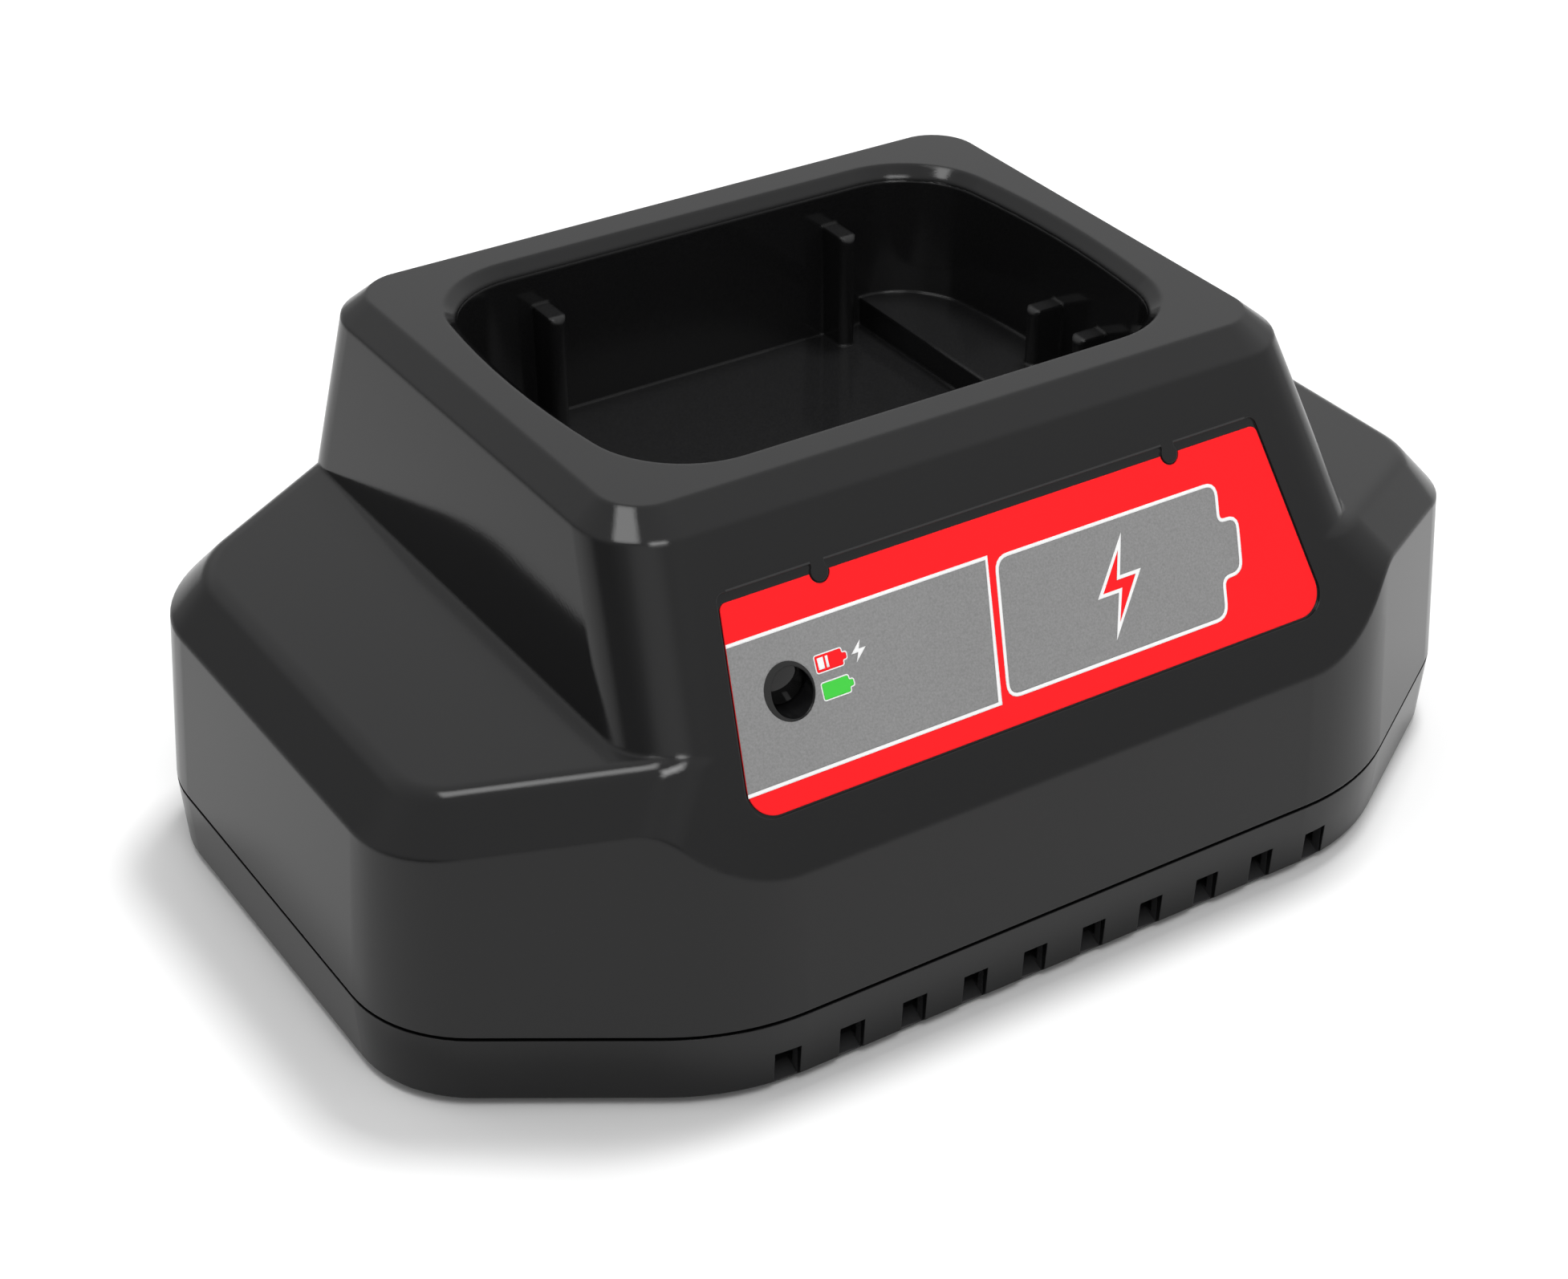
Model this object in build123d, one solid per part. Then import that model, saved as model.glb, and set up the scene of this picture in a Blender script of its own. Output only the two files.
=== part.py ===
"""Drop-in charging dock for a cordless-tool battery pack: an octagonal desktop
base with a raised tub, a glossy battery well and a sloping front face.
Millimetres, +Z up, front towards -Y, origin under the centre of the base."""

import os
from math import cos, radians, sin, tan

from build123d import *

os.makedirs("parts", exist_ok=True)

# ---- outer form ---------------------------------------------------------------
base_length = 240.0
base_depth = 154.0
corner_cut = 50.7          # each corner of the octagon, along X
front_cut = 32.2           # and along Y at the front
back_cut = 21.0            # and along Y at the back
end_corner_radius = 25.0
face_corner_radius = 46.0
foot_proud = 1.2
tray_height = 14.25
seam_gap = 0.75
case_height = 83.2         # from the seam to the rim of the tub
case_draft = 3.9
fold_rise = 27.7           # where the wall folds back into the sloping face
face_angle = 30.0
back_angle = 7.0
side_angle = 9.8
rim_half = base_length / 2 - 47.46
rim_flat = 4.3
rim_drop = 4.1
tub_radius = 14.0
shoulder_angle = 10.2
shoulder_reach = base_length / 2 - 2.8
shoulder_rise = 41.4       # above the seam, at the shoulder's outer end
shoulder_band = 7.4
shoulder_soft = 5.0
shoulder_corner = 15.0     # where the band turns into the sloping face
shoulder_root = 40.0       # how near the middle each shoulder block starts
wall = 2.5

# ---- battery mouth and well ---------------------------------------------------
mouth_y = 11.55
mouth_half_length = rim_half - 10.84
mouth_half_width = base_depth / 2 - 33.1
mouth_bulge = 200.0
mouth_radius = 20.0
lead_width = 2.5
lead_depth = 2.3
well_depth = 30.7
well_wall = 2.0
well_draft = 1.5
well_flange = 2.8          # how far the well's rim reaches past the mouth
step_x = 40.5
step_rise = 6.0
rib_width = 3.5
side_rib_x = 33.2
side_rib_reach = 7.0
side_rib_drop = 6.7        # below the top plate
end_rib_reach = 6.3
end_rib_drop = 12.7
end_rib_ys = (mouth_y - 16.15, mouth_y - 1.55)
ear_half = 4.5
ear_thickness = 2.5
ear_drop = 15.7
ear_x = rim_half - 6.34
ear_y = mouth_half_width - 8.9
well_boss_radius = 3.5

# ---- label and light on the sloping face -------------------------------------
label_low = 11.11          # up the slope from the fold
label_high = 47.66
label_low_half = rim_half - 10.04
label_high_half = rim_half - 15.24
label_thickness = 0.25
recess_depth = 0.4
recess_margin = 0.4
recess_high = 49.36
tab_x = rim_half - 35.04
tab_radius = 1.7
notch_radius = 2.0
light_x = 24.04 - rim_half
light_z = 69.7
light_bore = 4.15
light_radius = 3.9
light_collar = 6.0
light_recess = 2.4         # the dome's tip behind the sloping face
light_dome = 0.5
light_collar_depth = 7.7
light_collar_thickness = 1.5
light_skirt = 5.5
led_radius = 2.5
led_board_thickness = 1.6
led_board_size = (30.0, 14.0)
led_screw_pitch = 22.0

# ---- base tray ---------------------------------------------------------------
tray_floor = 1.6
tray_wall = 3.5
tray_edge = 0.9
lip_inset = 2.9
lip_inner = 4.4
lip_rise = 3.5
vent_count = 10
vent_pitch = 13.24
vent_width = 5.2
vent_top = 7.33
sill_slope = 0.488
sill_start = 1.8           # the sill begins this far inside the seam line
join_z = 30.0              # where tray tubes meet the case bosses
join_x = base_length / 2 - 20
join_ys = (42 - base_depth / 2, base_depth / 2 - 35)
tube_radius = 6.0
tube_bore = 4.2
tube_top = 4.0
boss_radius = 4.5
foot_radius = 7.0
foot_recess = 0.5
foot_x = base_length / 2 - 44
foot_ys = (23 - base_depth / 2, base_depth / 2 - 19)
plate_size = (58.0, 28.0)
plate_thickness = 0.3
plate_recess = 0.4

# ---- fasteners ---------------------------------------------------------------
case_screw = 3.5
case_screw_length = 16.0
small_screw = 3.0
small_screw_length = 8.0
tiny_screw = 2.2
tiny_screw_length = 6.0
head_ratio = 1.9
head_height_ratio = 0.65

# ---- electronics -------------------------------------------------------------
board_size = (base_length - 70, base_depth - 58)
board_y = 2.0
board_thickness = 1.6
board_z = 10.0
board_hole_inset = 7.0
standoff_radius = 3.8
inlet_pocket_y = base_depth / 2 - 5
inlet_z = 34.2
inlet_pocket = (52.0, 26.0)
inlet_pad = (56.0, 30.0)
inlet_flange = (50.0, 22.6)
inlet_flange_thickness = 2.8
inlet_body = (27.4, 19.8)
inlet_body_depth = 20.0
socket_size = (24.4, 16.6)
socket_depth = 15.5
inlet_screw_pitch = 40.0
pin_pitch = 7.0
contact_y = mouth_y - mouth_half_width + 11.35
contact_xs = (-12.0, 0.0, 12.0)
contact_size = (0.8, 7.0)
contact_block_size = (40.0, 12.0, 15.8)
contact_screw_x = 17.0
contact_tail = 8.0         # how far each blade reaches below the well's floor
output_header_size = (34.0, 9.0, 9.0)
mains_wire = 1.3
battery_wire = 1.2
led_wire_radius = 0.6
transformer_size = (38.0, 12.0, 32.0)
transformer_at = (14.0, 4.0)
transformer_leg = 11.0
transformer_limb = 6.0
winding_size = (25.0, 26.0, 19.0)
bulk_can = (9.0, 34.0)
bulk_at = ((-62.0, -4.0), (-62.0, -26.0))
output_can = (5.0, 20.0)
output_at = ((56.0, -28.0), (56.0, -15.0), (56.0, -2.0))
choke_size = (22.0, 18.0, 20.0)
choke_at = (-52.0, 26.0)
film_size = (18.0, 9.0, 15.0)
film_at = (-24.0, 26.0)
fuse_radius = 2.6
fuse_length = 20.0
fuse_at = (-34.0, 42.0)
fuse_clip_size = (4.0, 6.8, 5.0)
fin_count = 7
fin_pitch = 5.0
fin_size = (1.4, 9.0)
sink_size = (34.0, 2.5, 26.0)
sink_at = ((-28.0, -8.0), (46.0, 30.0))
transistor_size = (10.0, 4.4, 9.0)
transistor_tab = (10.0, 1.3, 15.5)
transistor_leg = (0.9, 0.6, 5.0)
leg_pitch = 2.54
leg_reach = 4.0
chip_size = (10.0, 6.4, 3.4)
chip_at = ((-8.0, 30.0), (38.0, -34.0))

# ---- heights and planes worked out from the sizes above ------------------------
front = -base_depth / 2
back = base_depth / 2
z_tray = foot_proud
z_seam = z_tray + tray_height
z_case = z_seam + seam_gap
z_rim = z_case + case_height
z_plate = z_rim - wall
z_fold = z_case + fold_rise
z_well = z_plate - well_depth
z_floor = z_tray + tray_floor
board_top = board_z + board_thickness
y_fold = front + tan(radians(case_draft)) * fold_rise
y_light = y_fold + tan(radians(face_angle)) * (light_z - z_fold)
light_front = y_light + light_recess
light_collar_y = y_light + light_collar_depth
led_board_y = light_collar_y + light_skirt
board_hole_x = board_size[0] / 2 - board_hole_inset
board_hole_ys = (
    board_y - board_size[1] / 2 + board_hole_inset,
    board_y + board_size[1] / 2 - board_hole_inset,
)
foot_at = [(s * foot_x, y) for s in (-1, 1) for y in foot_ys]

face_plane = Plane(
    origin=(0, y_fold, z_fold),
    x_dir=(1, 0, 0),
    z_dir=(0, -cos(radians(face_angle)), sin(radians(face_angle))),
)
back_plane = Plane(
    origin=(0, back, z_case),
    x_dir=(1, 0, 0),
    z_dir=(0, cos(radians(back_angle)), sin(radians(back_angle))),
)
shoulder_plane = Plane(
    origin=(shoulder_reach, 0, z_case + shoulder_rise),
    x_dir=(0, 1, 0),
    z_dir=(sin(radians(shoulder_angle)), 0, cos(radians(shoulder_angle))),
)


def save(name, *pieces):
    shape = pieces[0] if len(pieces) == 1 else Compound(children=list(pieces))
    export_step(shape, f"parts/{name}.step")


def side_plane(side):
    """The tub's end wall, right for side=1 and left for side=-1."""
    return Plane(
        origin=(side * rim_half, 0, z_rim),
        x_dir=(0, 1, 0),
        z_dir=(side * cos(radians(side_angle)), 0, sin(radians(side_angle))),
    )


def below(shape, plane, inset=0):
    return split(shape, bisect_by=plane.offset(-inset), keep=Keep.BOTTOM)


def rod(radius, x, y, low, high):
    return Pos(x, y, (low + high) / 2) * Cylinder(radius, high - low)


def rod_y(radius, x, z, near, far):
    """A round bar along Y."""
    return Pos(x, (near + far) / 2, z) * Rot(90, 0, 0) * Cylinder(radius, far - near)


def block(size_x, size_y, size_z, x, y, low):
    return Pos(x, y, low + size_z / 2) * Box(size_x, size_y, size_z)


# ---- the dock's outer body, also used inset for its hollow ---------------------
def outline(inset=0, soft=True):
    """Plan at the seam. soft=False leaves the corners of the long sides sharp."""
    half = base_length / 2
    inner = half - corner_cut
    sketch = Polygon(
        (-inner, front), (inner, front), (half, front + front_cut), (half, back - back_cut),
        (inner, back), (-inner, back), (-half, back - back_cut), (-half, front + front_cut),
        align=None,
    )
    ends = [v for v in sketch.vertices() if abs(abs(v.X) - half) < 0.01]
    sketch = fillet(ends, end_corner_radius)
    if soft:
        faces = [v for v in sketch.vertices() if abs(abs(v.X) - inner) < 0.01]
        sketch = fillet(faces, face_corner_radius)
    return offset(sketch, -inset, kind=Kind.INTERSECTION) if inset else sketch


def prism(inset=0, soft=True):
    plan = Plane.XY.offset(z_case) * outline(inset, soft)
    return extrude(plan, amount=case_height, taper=case_draft)


def tub(inset=0):
    height = z_rim - inset - z_case
    body = Pos(0, 0, z_case + height / 2) * Box(2 * base_length, 2 * base_depth, height)
    for plane in (face_plane, back_plane, side_plane(1), side_plane(-1)):
        body = below(body, plane, inset)
    corners = [e for e in body.edges() if abs((e @ 0).Z - (e @ 1).Z) > 10]
    body = fillet(corners, tub_radius - inset)
    top = body.faces().sort_by(Axis.Z)[-1]
    return chamfer(top.edges(), length=rim_flat, length2=rim_drop, reference=top)


def lies_on(edge, plane):
    return all(abs(plane.to_local_coords(edge @ t).Z) < 0.01 for t in (0, 0.5, 1))


def shoulder(inset=0):
    """The right shoulder: a sloping shelf with a chamfered band round its free rim."""
    ends = [face_plane.offset(-inset), back_plane.offset(-inset)]
    body = below(prism(inset, soft=False), shoulder_plane, inset)
    body = split(body, bisect_by=Plane.YZ.offset(shoulder_root), keep=Keep.TOP)
    for plane in ends:
        body = below(body, plane)
    slope = cos(radians(shoulder_angle))

    def rim():
        top = [f for f in body.faces() if abs(f.normal_at().Z - slope) < 1e-3][0]
        return [e for e in top.edges() if (e @ 0.5).X > shoulder_root + 0.5]

    free = [e for e in rim() if not any(lies_on(e, plane) for plane in ends)]
    body = chamfer(free, shoulder_band)
    if not inset:
        for plane in ends:
            corner = [
                e for e in body.edges()
                if lies_on(e, plane)
                and rim_half - 12 < (e @ 0.5).X < rim_half + 12
                and (e @ 0.5).Z > z_fold + 10
                and abs((e @ 0).Z - (e @ 1).Z) > 5
            ]
            body = fillet(corner, shoulder_corner)
        body = fillet(rim(), shoulder_soft)
    return body & prism(inset)


def dock_body(inset=0):
    half = shoulder(inset)
    return (tub(inset) & prism(inset)) + half + mirror(half, about=Plane.YZ)


def mouth(inset=0):
    """Plan of the battery opening: a soft rectangle whose short ends bulge."""
    sketch = Rectangle(2 * mouth_half_length, 2 * mouth_half_width)
    for side in (-1, 1):
        sketch &= Pos(side * (mouth_half_length - mouth_bulge), 0) * Circle(mouth_bulge)
    sketch = fillet(sketch.vertices(), mouth_radius)
    sketch = Pos(0, mouth_y) * sketch
    return offset(sketch, -inset) if inset else sketch


def trapezoid(low, high, margin=0):
    slope = (label_low_half - label_high_half) / (label_high - label_low)

    def half(up):
        return label_low_half - slope * (up - label_low) + margin

    sketch = Polygon(
        (-half(low), low), (half(low), low), (half(high), high), (-half(high), high), align=None
    )
    lower = [v for v in sketch.vertices() if v.Y < (low + high) / 2]
    sketch = fillet(lower, 5.0)
    upper = [v for v in sketch.vertices() if v.Y > high - 0.01]
    return fillet(upper, 1.5)


# ---- fasteners ------------------------------------------------------------------
def screw(size, length):
    """A cross-head screw: the head stands on Z=0, the shank hangs below it."""
    head = size * head_ratio / 2
    height = size * head_height_ratio
    body = rod(head, 0, 0, 0, height)
    body = fillet(body.edges().sort_by(Axis.Z)[-1], height * 0.45)
    for angle in (0, 90):
        body -= Rot(0, 0, angle) * block(head * 1.1, size * 0.25, height, 0, 0, height * 0.35)
    shank = rod(size / 2, 0, 0, -length, 0)
    return body + chamfer(shank.edges().sort_by(Axis.Z)[0], size * 0.18)


def nut(size):
    body = extrude(RegularPolygon(size * 1.06, 6), amount=size * 0.8)
    return body - rod(size / 2, 0, 0, -1, size)


# ---- upper case -----------------------------------------------------------------
def label_recess():
    sketch = trapezoid(label_low - recess_margin, recess_high, recess_margin)
    for side in (-1, 1):
        sketch -= Pos(side * tab_x, label_high) * Circle(tab_radius)
        sketch -= Pos(side * tab_x, recess_high) * Rectangle(tab_radius * 1.6, 2 * tab_radius)
    return extrude(face_plane * sketch, amount=-recess_depth)


def case_bosses():
    """Screw bosses that hang from the inside of the shell, before trimming."""
    bosses = [rod(boss_radius, s * join_x, y, join_z, z_rim) for s in (-1, 1) for y in join_ys]
    ear_z = z_plate - ear_drop
    for side in (-1, 1):
        for y in (mouth_y - ear_y, mouth_y + ear_y):
            bosses.append(rod(well_boss_radius, side * ear_x, y, ear_z, z_rim))
    bosses.append(rod_y(light_collar + 1, light_x, light_z, front, light_collar_y))
    for side in (-1, 1):
        x = light_x + side * led_screw_pitch / 2
        bosses.append(rod_y(tiny_screw * 1.3, x, light_z, front, led_board_y))
    bosses.append(
        Pos(0, back, inlet_z) * Box(inlet_pad[0], 2 * (back - inlet_pocket_y + wall), inlet_pad[1])
    )
    return bosses


def upper_case():
    trim = dock_body(wall * 0.6)
    case = dock_body() - dock_body(wall)
    for boss in case_bosses():
        case += boss & trim
    # Mouth with its lead-in, label recess, light bore and mains pocket.
    case -= extrude(Plane.XY.offset(z_plate - 1) * mouth(lead_width), amount=wall + 2)
    rim = case.faces().filter_by(Axis.Z).filter_by(lambda f: f.center().Z > z_rim - 0.1)
    inner = rim.sort_by(Axis.Z)[-1].inner_wires()[0].edges()
    case = chamfer(inner, length=lead_width, length2=lead_depth, reference=rim[-1])
    case -= label_recess()
    case -= rod_y(light_bore, light_x, light_z, front - 5, light_collar_y + 1)
    case -= Pos(0, inlet_pocket_y + 10, inlet_z) * Box(inlet_pocket[0], 20, inlet_pocket[1])
    case -= Pos(0, inlet_pocket_y, inlet_z) * Box(inlet_body[0], 20, inlet_body[1])
    for side in (-1, 1):
        x = side * inlet_screw_pitch / 2
        case -= rod_y(small_screw / 2, x, inlet_z, inlet_pocket_y - 8, inlet_pocket_y + 1)
        for y in (mouth_y - ear_y, mouth_y + ear_y):
            ear_z = z_plate - ear_drop
            case -= rod(small_screw / 2, side * ear_x, y, ear_z - 1, ear_z + small_screw_length)
        for y in join_ys:
            reach = case_screw_length - tube_top
            case -= rod(case_screw / 2, side * join_x, y, join_z - 1, join_z + reach)
        x = light_x + side * led_screw_pitch / 2
        pilot = tiny_screw_length - led_board_thickness
        case -= rod_y(tiny_screw / 2, x, light_z, led_board_y - pilot, led_board_y + 1)
    return case


# ---- base tray ------------------------------------------------------------------
def vent(side):
    """One vent notch: open at the foot of the wall, with a sill that slopes down and out."""
    near = front - 2
    far = front + tray_wall + 2
    lip = front + sill_start
    profile = Polygon(
        (near, z_tray + vent_top),
        (far, z_tray + vent_top),
        (far, z_tray + (far - lip) * sill_slope),
        (near, z_tray + (near - lip) * sill_slope),
        align=None,
    )
    notch = extrude(Plane.YZ * profile, amount=vent_width / 2, both=True)
    return notch if side < 0 else mirror(notch, about=Plane.XZ)


def base_tray():
    plan = Plane.XY.offset(z_seam) * outline()
    tray = extrude(plan, amount=-tray_height, taper=case_draft)
    tray = chamfer(tray.faces().sort_by(Axis.Z)[0].edges(), tray_edge)
    tray -= extrude(Plane.XY.offset(z_floor) * outline(tray_wall), amount=tray_height)
    lip = outline(lip_inset) - outline(lip_inner)
    tray += extrude(Plane.XY.offset(z_seam - 3) * lip, amount=3 + lip_rise)
    for index in range(vent_count):
        x = (index - (vent_count - 1) / 2) * vent_pitch
        tray -= Pos(x, 0, 0) * vent(-1)
        tray -= Pos(x, 0, 0) * vent(1)
    for side in (-1, 1):
        for y in join_ys:
            tray += rod(tube_radius, side * join_x, y, z_tray, join_z)
            tray -= rod(tube_bore, side * join_x, y, z_tray - 1, join_z - tube_top)
            tray -= rod(case_screw / 2 + 0.2, side * join_x, y, z_tray, join_z + 1)
        for y in board_hole_ys:
            tray += rod(standoff_radius, side * board_hole_x, y, z_tray + 1, board_z)
            tray -= rod(small_screw / 2, side * board_hole_x, y, z_floor + 0.6, board_z + 1)
    for x, y in foot_at:
        tray += rod(foot_radius + 2.5, x, y, z_tray + 0.5, z_floor + 0.8)
        tray -= rod(foot_radius + 0.1, x, y, z_tray - 1, z_tray + foot_recess)
    tray += block(plate_size[0] + 6, plate_size[1] + 6, 1.4, 0, 0, z_tray + 1)
    tray -= block(plate_size[0] + 0.4, plate_size[1] + 0.4, plate_recess + 1, 0, 0, z_tray - 1)
    return tray


def rubber_foot():
    foot = rod(foot_radius, 0, 0, 0, foot_proud + foot_recess)
    foot = chamfer(foot.edges().sort_by(Axis.Z)[0], 0.5)
    return foot - rod(foot_radius * 0.45, 0, 0, -1, 0.6)


# ---- battery well ---------------------------------------------------------------
def well_form(inset, depth):
    """The well's drafted plan between the top plate and a depth below it."""
    top = Plane.XY.offset(z_plate) * mouth(inset)
    low = Plane.XY.offset(z_plate - depth) * mouth(inset + depth * tan(radians(well_draft)))
    return loft([low.face(), top.face()], ruled=True)


def rounded_rib(width, reach, height):
    """An upright guide rib that grows towards +Y from Y=0, soft at its nose and top."""
    rib = Pos(0, reach / 2 - 2, height / 2) * Box(width, reach + 4, height)
    nose = rib.edges().filter_by(lambda e: (e @ 0.5).Y > reach - 0.01)
    return fillet(nose, width * 0.42)


def well_ribs():
    ribs = []
    tall = z_plate - side_rib_drop - z_well + 1
    inner = mouth_half_width - lead_width - tan(radians(well_draft)) * well_depth
    for side in (-1, 1):
        for turn in (0, 180):
            rib = Pos(0, -inner, 0) * rounded_rib(rib_width, side_rib_reach, tall)
            rib = Rot(0, 0, turn) * rib
            ribs.append(Pos(side * side_rib_x, mouth_y, z_well - 1) * rib)
    short = z_plate - end_rib_drop - z_well + 1
    reach = mouth_half_length - lead_width - tan(radians(well_draft)) * well_depth - 0.2
    for turn in (90, -90):
        for y in end_rib_ys:
            rib = Rot(0, 0, turn) * Pos(0, -reach, 0) * rounded_rib(rib_width, end_rib_reach, short)
            ribs.append(Pos(0, y, z_well - 1) * rib)
    return ribs


def battery_well():
    solid = well_form(lead_width - well_wall, well_depth + well_wall)
    flange = extrude(Plane.XY.offset(z_plate) * mouth(-well_flange), amount=-well_wall)
    well = solid + flange
    ear_z = z_plate - ear_drop
    for side in (-1, 1):
        for y in (mouth_y - ear_y, mouth_y + ear_y):
            length = ear_x + well_boss_radius - 46
            well += block(
                length, 2 * ear_half, ear_thickness, side * (46 + length / 2), y,
                ear_z - ear_thickness,
            )
    well -= well_form(lead_width, well_depth)
    step = block(60, 200, step_rise + 1, step_x + 30, mouth_y, z_well - 1)
    well += step & solid
    for rib in well_ribs():
        well += rib & solid
    for side in (-1, 1):
        for y in (mouth_y - ear_y, mouth_y + ear_y):
            well -= rod(small_screw / 2 + 0.1, side * ear_x, y, ear_z - 5, ear_z + 1)
        well -= rod(tiny_screw / 2 + 0.1, side * contact_screw_x, contact_y, z_well - 5, z_well + 1)
    for x in contact_xs:
        well -= block(*contact_size, contact_tail + 2, x, contact_y, z_well - contact_tail)
    return well


def contact_block():
    long, deep, tall = contact_block_size
    body = block(long, deep, tall, 0, contact_y, z_well)
    body = fillet(body.edges().filter_by(Axis.Z), 1.5)
    body = chamfer(body.faces().sort_by(Axis.Z)[-1].edges(), 0.8)
    for x in contact_xs:
        body -= block(3.2, deep, tall, x, contact_y + 2.5, z_well + 3)
        body -= block(contact_size[0], contact_size[1], tall, x, contact_y, z_well - 1)
    for side in (-1, 1):
        pilot = tiny_screw_length - well_wall
        body -= rod(
            tiny_screw / 2, side * contact_screw_x, contact_y, z_well - 1, z_well + pilot
        )
    return body


def contact_blade(x):
    thick, wide = contact_size
    tall = contact_block_size[2] + contact_tail - 3
    blade = block(thick, wide, tall, x, contact_y, z_well - contact_tail)
    return chamfer(blade.faces().sort_by(Axis.Z)[-1].edges().filter_by(Axis.Y), thick * 0.35)


# ---- label, light and its board ---------------------------------------------------
def front_label():
    sketch = trapezoid(label_low, label_high)
    for side in (-1, 1):
        sketch -= Pos(side * tab_x, label_high) * Circle(notch_radius)
    label = extrude(face_plane.offset(-recess_depth) * sketch, amount=label_thickness)
    return label - rod_y(light_bore + 0.4, light_x, light_z, front - 5, light_collar_y)


def light_pipe():
    """A clear plug with a domed front, a collar behind the bore and a skirt to the board."""
    shoulder_y = light_front + light_dome
    pipe = rod_y(light_radius, light_x, light_z, shoulder_y, light_collar_y)
    curve = (light_radius**2 + light_dome**2) / (2 * light_dome)
    ball = Pos(light_x, light_front + curve, light_z) * Sphere(curve)
    pipe += ball & rod_y(light_radius, light_x, light_z, front, shoulder_y)
    collar_back = light_collar_y + light_collar_thickness
    pipe += rod_y(light_collar, light_x, light_z, light_collar_y, led_board_y)
    pipe -= rod_y(light_collar - 1.6, light_x, light_z, collar_back, led_board_y + 1)
    return pipe - rod_y(led_radius + 0.3, light_x, light_z, light_collar_y - 0.5, collar_back + 1)


def led():
    body = rod_y(led_radius, light_x, light_z, led_board_y - 3.0, led_board_y)
    body += Pos(light_x, led_board_y - 3.0, light_z) * Sphere(led_radius)
    return body + rod_y(led_radius + 0.4, light_x, light_z, led_board_y - 1, led_board_y)


def led_board():
    long, tall = led_board_size
    y = led_board_y + led_board_thickness / 2
    board = Pos(light_x, y, light_z) * Box(long, led_board_thickness, tall)
    board = fillet(board.edges().filter_by(Axis.Y), 1.5)
    for side in (-1, 1):
        x = light_x + side * led_screw_pitch / 2
        board -= rod_y(tiny_screw / 2 + 0.1, x, light_z, led_board_y - 1, led_board_y + 3)
    return board


# ---- electronics ------------------------------------------------------------------
def cable(radius, bend, *points):
    path = FilletPolyline(*points, radius=bend)
    start = Plane(origin=path @ 0, z_dir=path % 0)
    return sweep(start * Circle(radius), path=path)


def main_board():
    board = block(*board_size, board_thickness, 0, board_y, board_z)
    board = fillet(board.edges().filter_by(Axis.Z), 3)
    for side in (-1, 1):
        for y in board_hole_ys:
            board -= rod(small_screw / 2 + 0.1, side * board_hole_x, y, board_z - 1, board_top + 1)
    return board


def transformer():
    x, y = transformer_at
    long, deep, tall = transformer_size
    window_tall = tall - 2 * transformer_limb
    core = block(long, deep, tall, x, y, board_top)
    core = fillet(core.edges().filter_by(Axis.Y), 1.0)
    core -= block(long - 2 * transformer_limb, deep, window_tall, x, y, board_top + transformer_limb)
    core += block(transformer_leg, deep, window_tall, x, y, board_top + transformer_limb)
    gap = (window_tall - winding_size[2]) / 2
    winding = block(*winding_size, x, y, board_top + transformer_limb + gap)
    winding = fillet(winding.edges().filter_by(Axis.Z), 4)
    winding -= block(transformer_leg, deep, tall, x, y, board_top)
    return core, winding


def can(radius, height, x, y):
    """An upright capacitor with a crimped neck, standing on the board."""
    body = rod(radius, x, y, board_top, board_top + height)
    body = fillet(body.edges().filter_by(GeomType.CIRCLE), radius * 0.1)
    neck = Pos(x, y, board_top + height * 0.12) * Torus(radius + 0.3, 0.6)
    return body - neck


def component(size, at, soft):
    """A moulded component with soft upright edges, standing on the board."""
    body = block(*size, *at, board_top)
    return fillet(body.edges().filter_by(Axis.Z), soft)


def heat_sink(x, y):
    body = block(*sink_size, x, y, board_top)
    thin, reach = fin_size
    for index in range(fin_count):
        fin_x = x + (index - (fin_count - 1) / 2) * fin_pitch
        body += block(thin, reach, sink_size[2], fin_x, y - reach / 2, board_top)
    return body


def transistor(x, y):
    """A three-legged power package whose tab lies on the back of a heat sink."""
    tab_y = y + sink_size[1] / 2 + transistor_tab[1] / 2
    body_y = tab_y - transistor_tab[1] / 2 + transistor_size[1] / 2
    package = block(*transistor_tab, x, tab_y, board_top + leg_reach)
    package += block(*transistor_size, x, body_y, board_top + leg_reach)
    for step in (-leg_pitch, 0, leg_pitch):
        package += block(*transistor_leg, x + step, body_y, board_top)
    return package


def inlet():
    """A mains appliance inlet: flange, body and a six-sided socket."""
    flange_y = inlet_pocket_y + inlet_flange_thickness / 2
    shape = Pos(0, flange_y, inlet_z) * Box(
        inlet_flange[0], inlet_flange_thickness, inlet_flange[1]
    )
    shape = fillet(shape.edges().filter_by(Axis.Y), 4)
    depth = inlet_body_depth + 2
    body = Pos(0, inlet_pocket_y + 2 - depth / 2, inlet_z)
    shape += body * Box(inlet_body[0], depth, inlet_body[1])
    wide, tall = socket_size
    socket = Polygon(
        (-wide / 2, -tall / 2), (wide / 2, -tall / 2), (wide / 2, tall / 2 - 5),
        (wide / 2 - 5, tall / 2), (5 - wide / 2, tall / 2), (-wide / 2, tall / 2 - 5), align=None,
    )
    socket = fillet(socket.vertices(), 1)
    mouth_y_out = inlet_pocket_y + inlet_flange_thickness
    opening = Plane(origin=(0, mouth_y_out + 1, inlet_z), x_dir=(1, 0, 0), z_dir=(0, -1, 0))
    shape -= extrude(opening * socket, amount=socket_depth + 1)
    for side in (-1, 1):
        x = side * inlet_screw_pitch / 2
        near = inlet_pocket_y - 1
        shape -= rod_y(small_screw / 2 + 0.1, x, inlet_z, near, near + 6)
    for x, drop in inlet_pins_at():
        shape -= Pos(x, inlet_pocket_y - 10, inlet_z + drop) * Box(2, 30, 4)
    return shape


def inlet_pins_at():
    return ((-pin_pitch, -2.0), (0.0, 2.0), (pin_pitch, -2.0))


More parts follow.
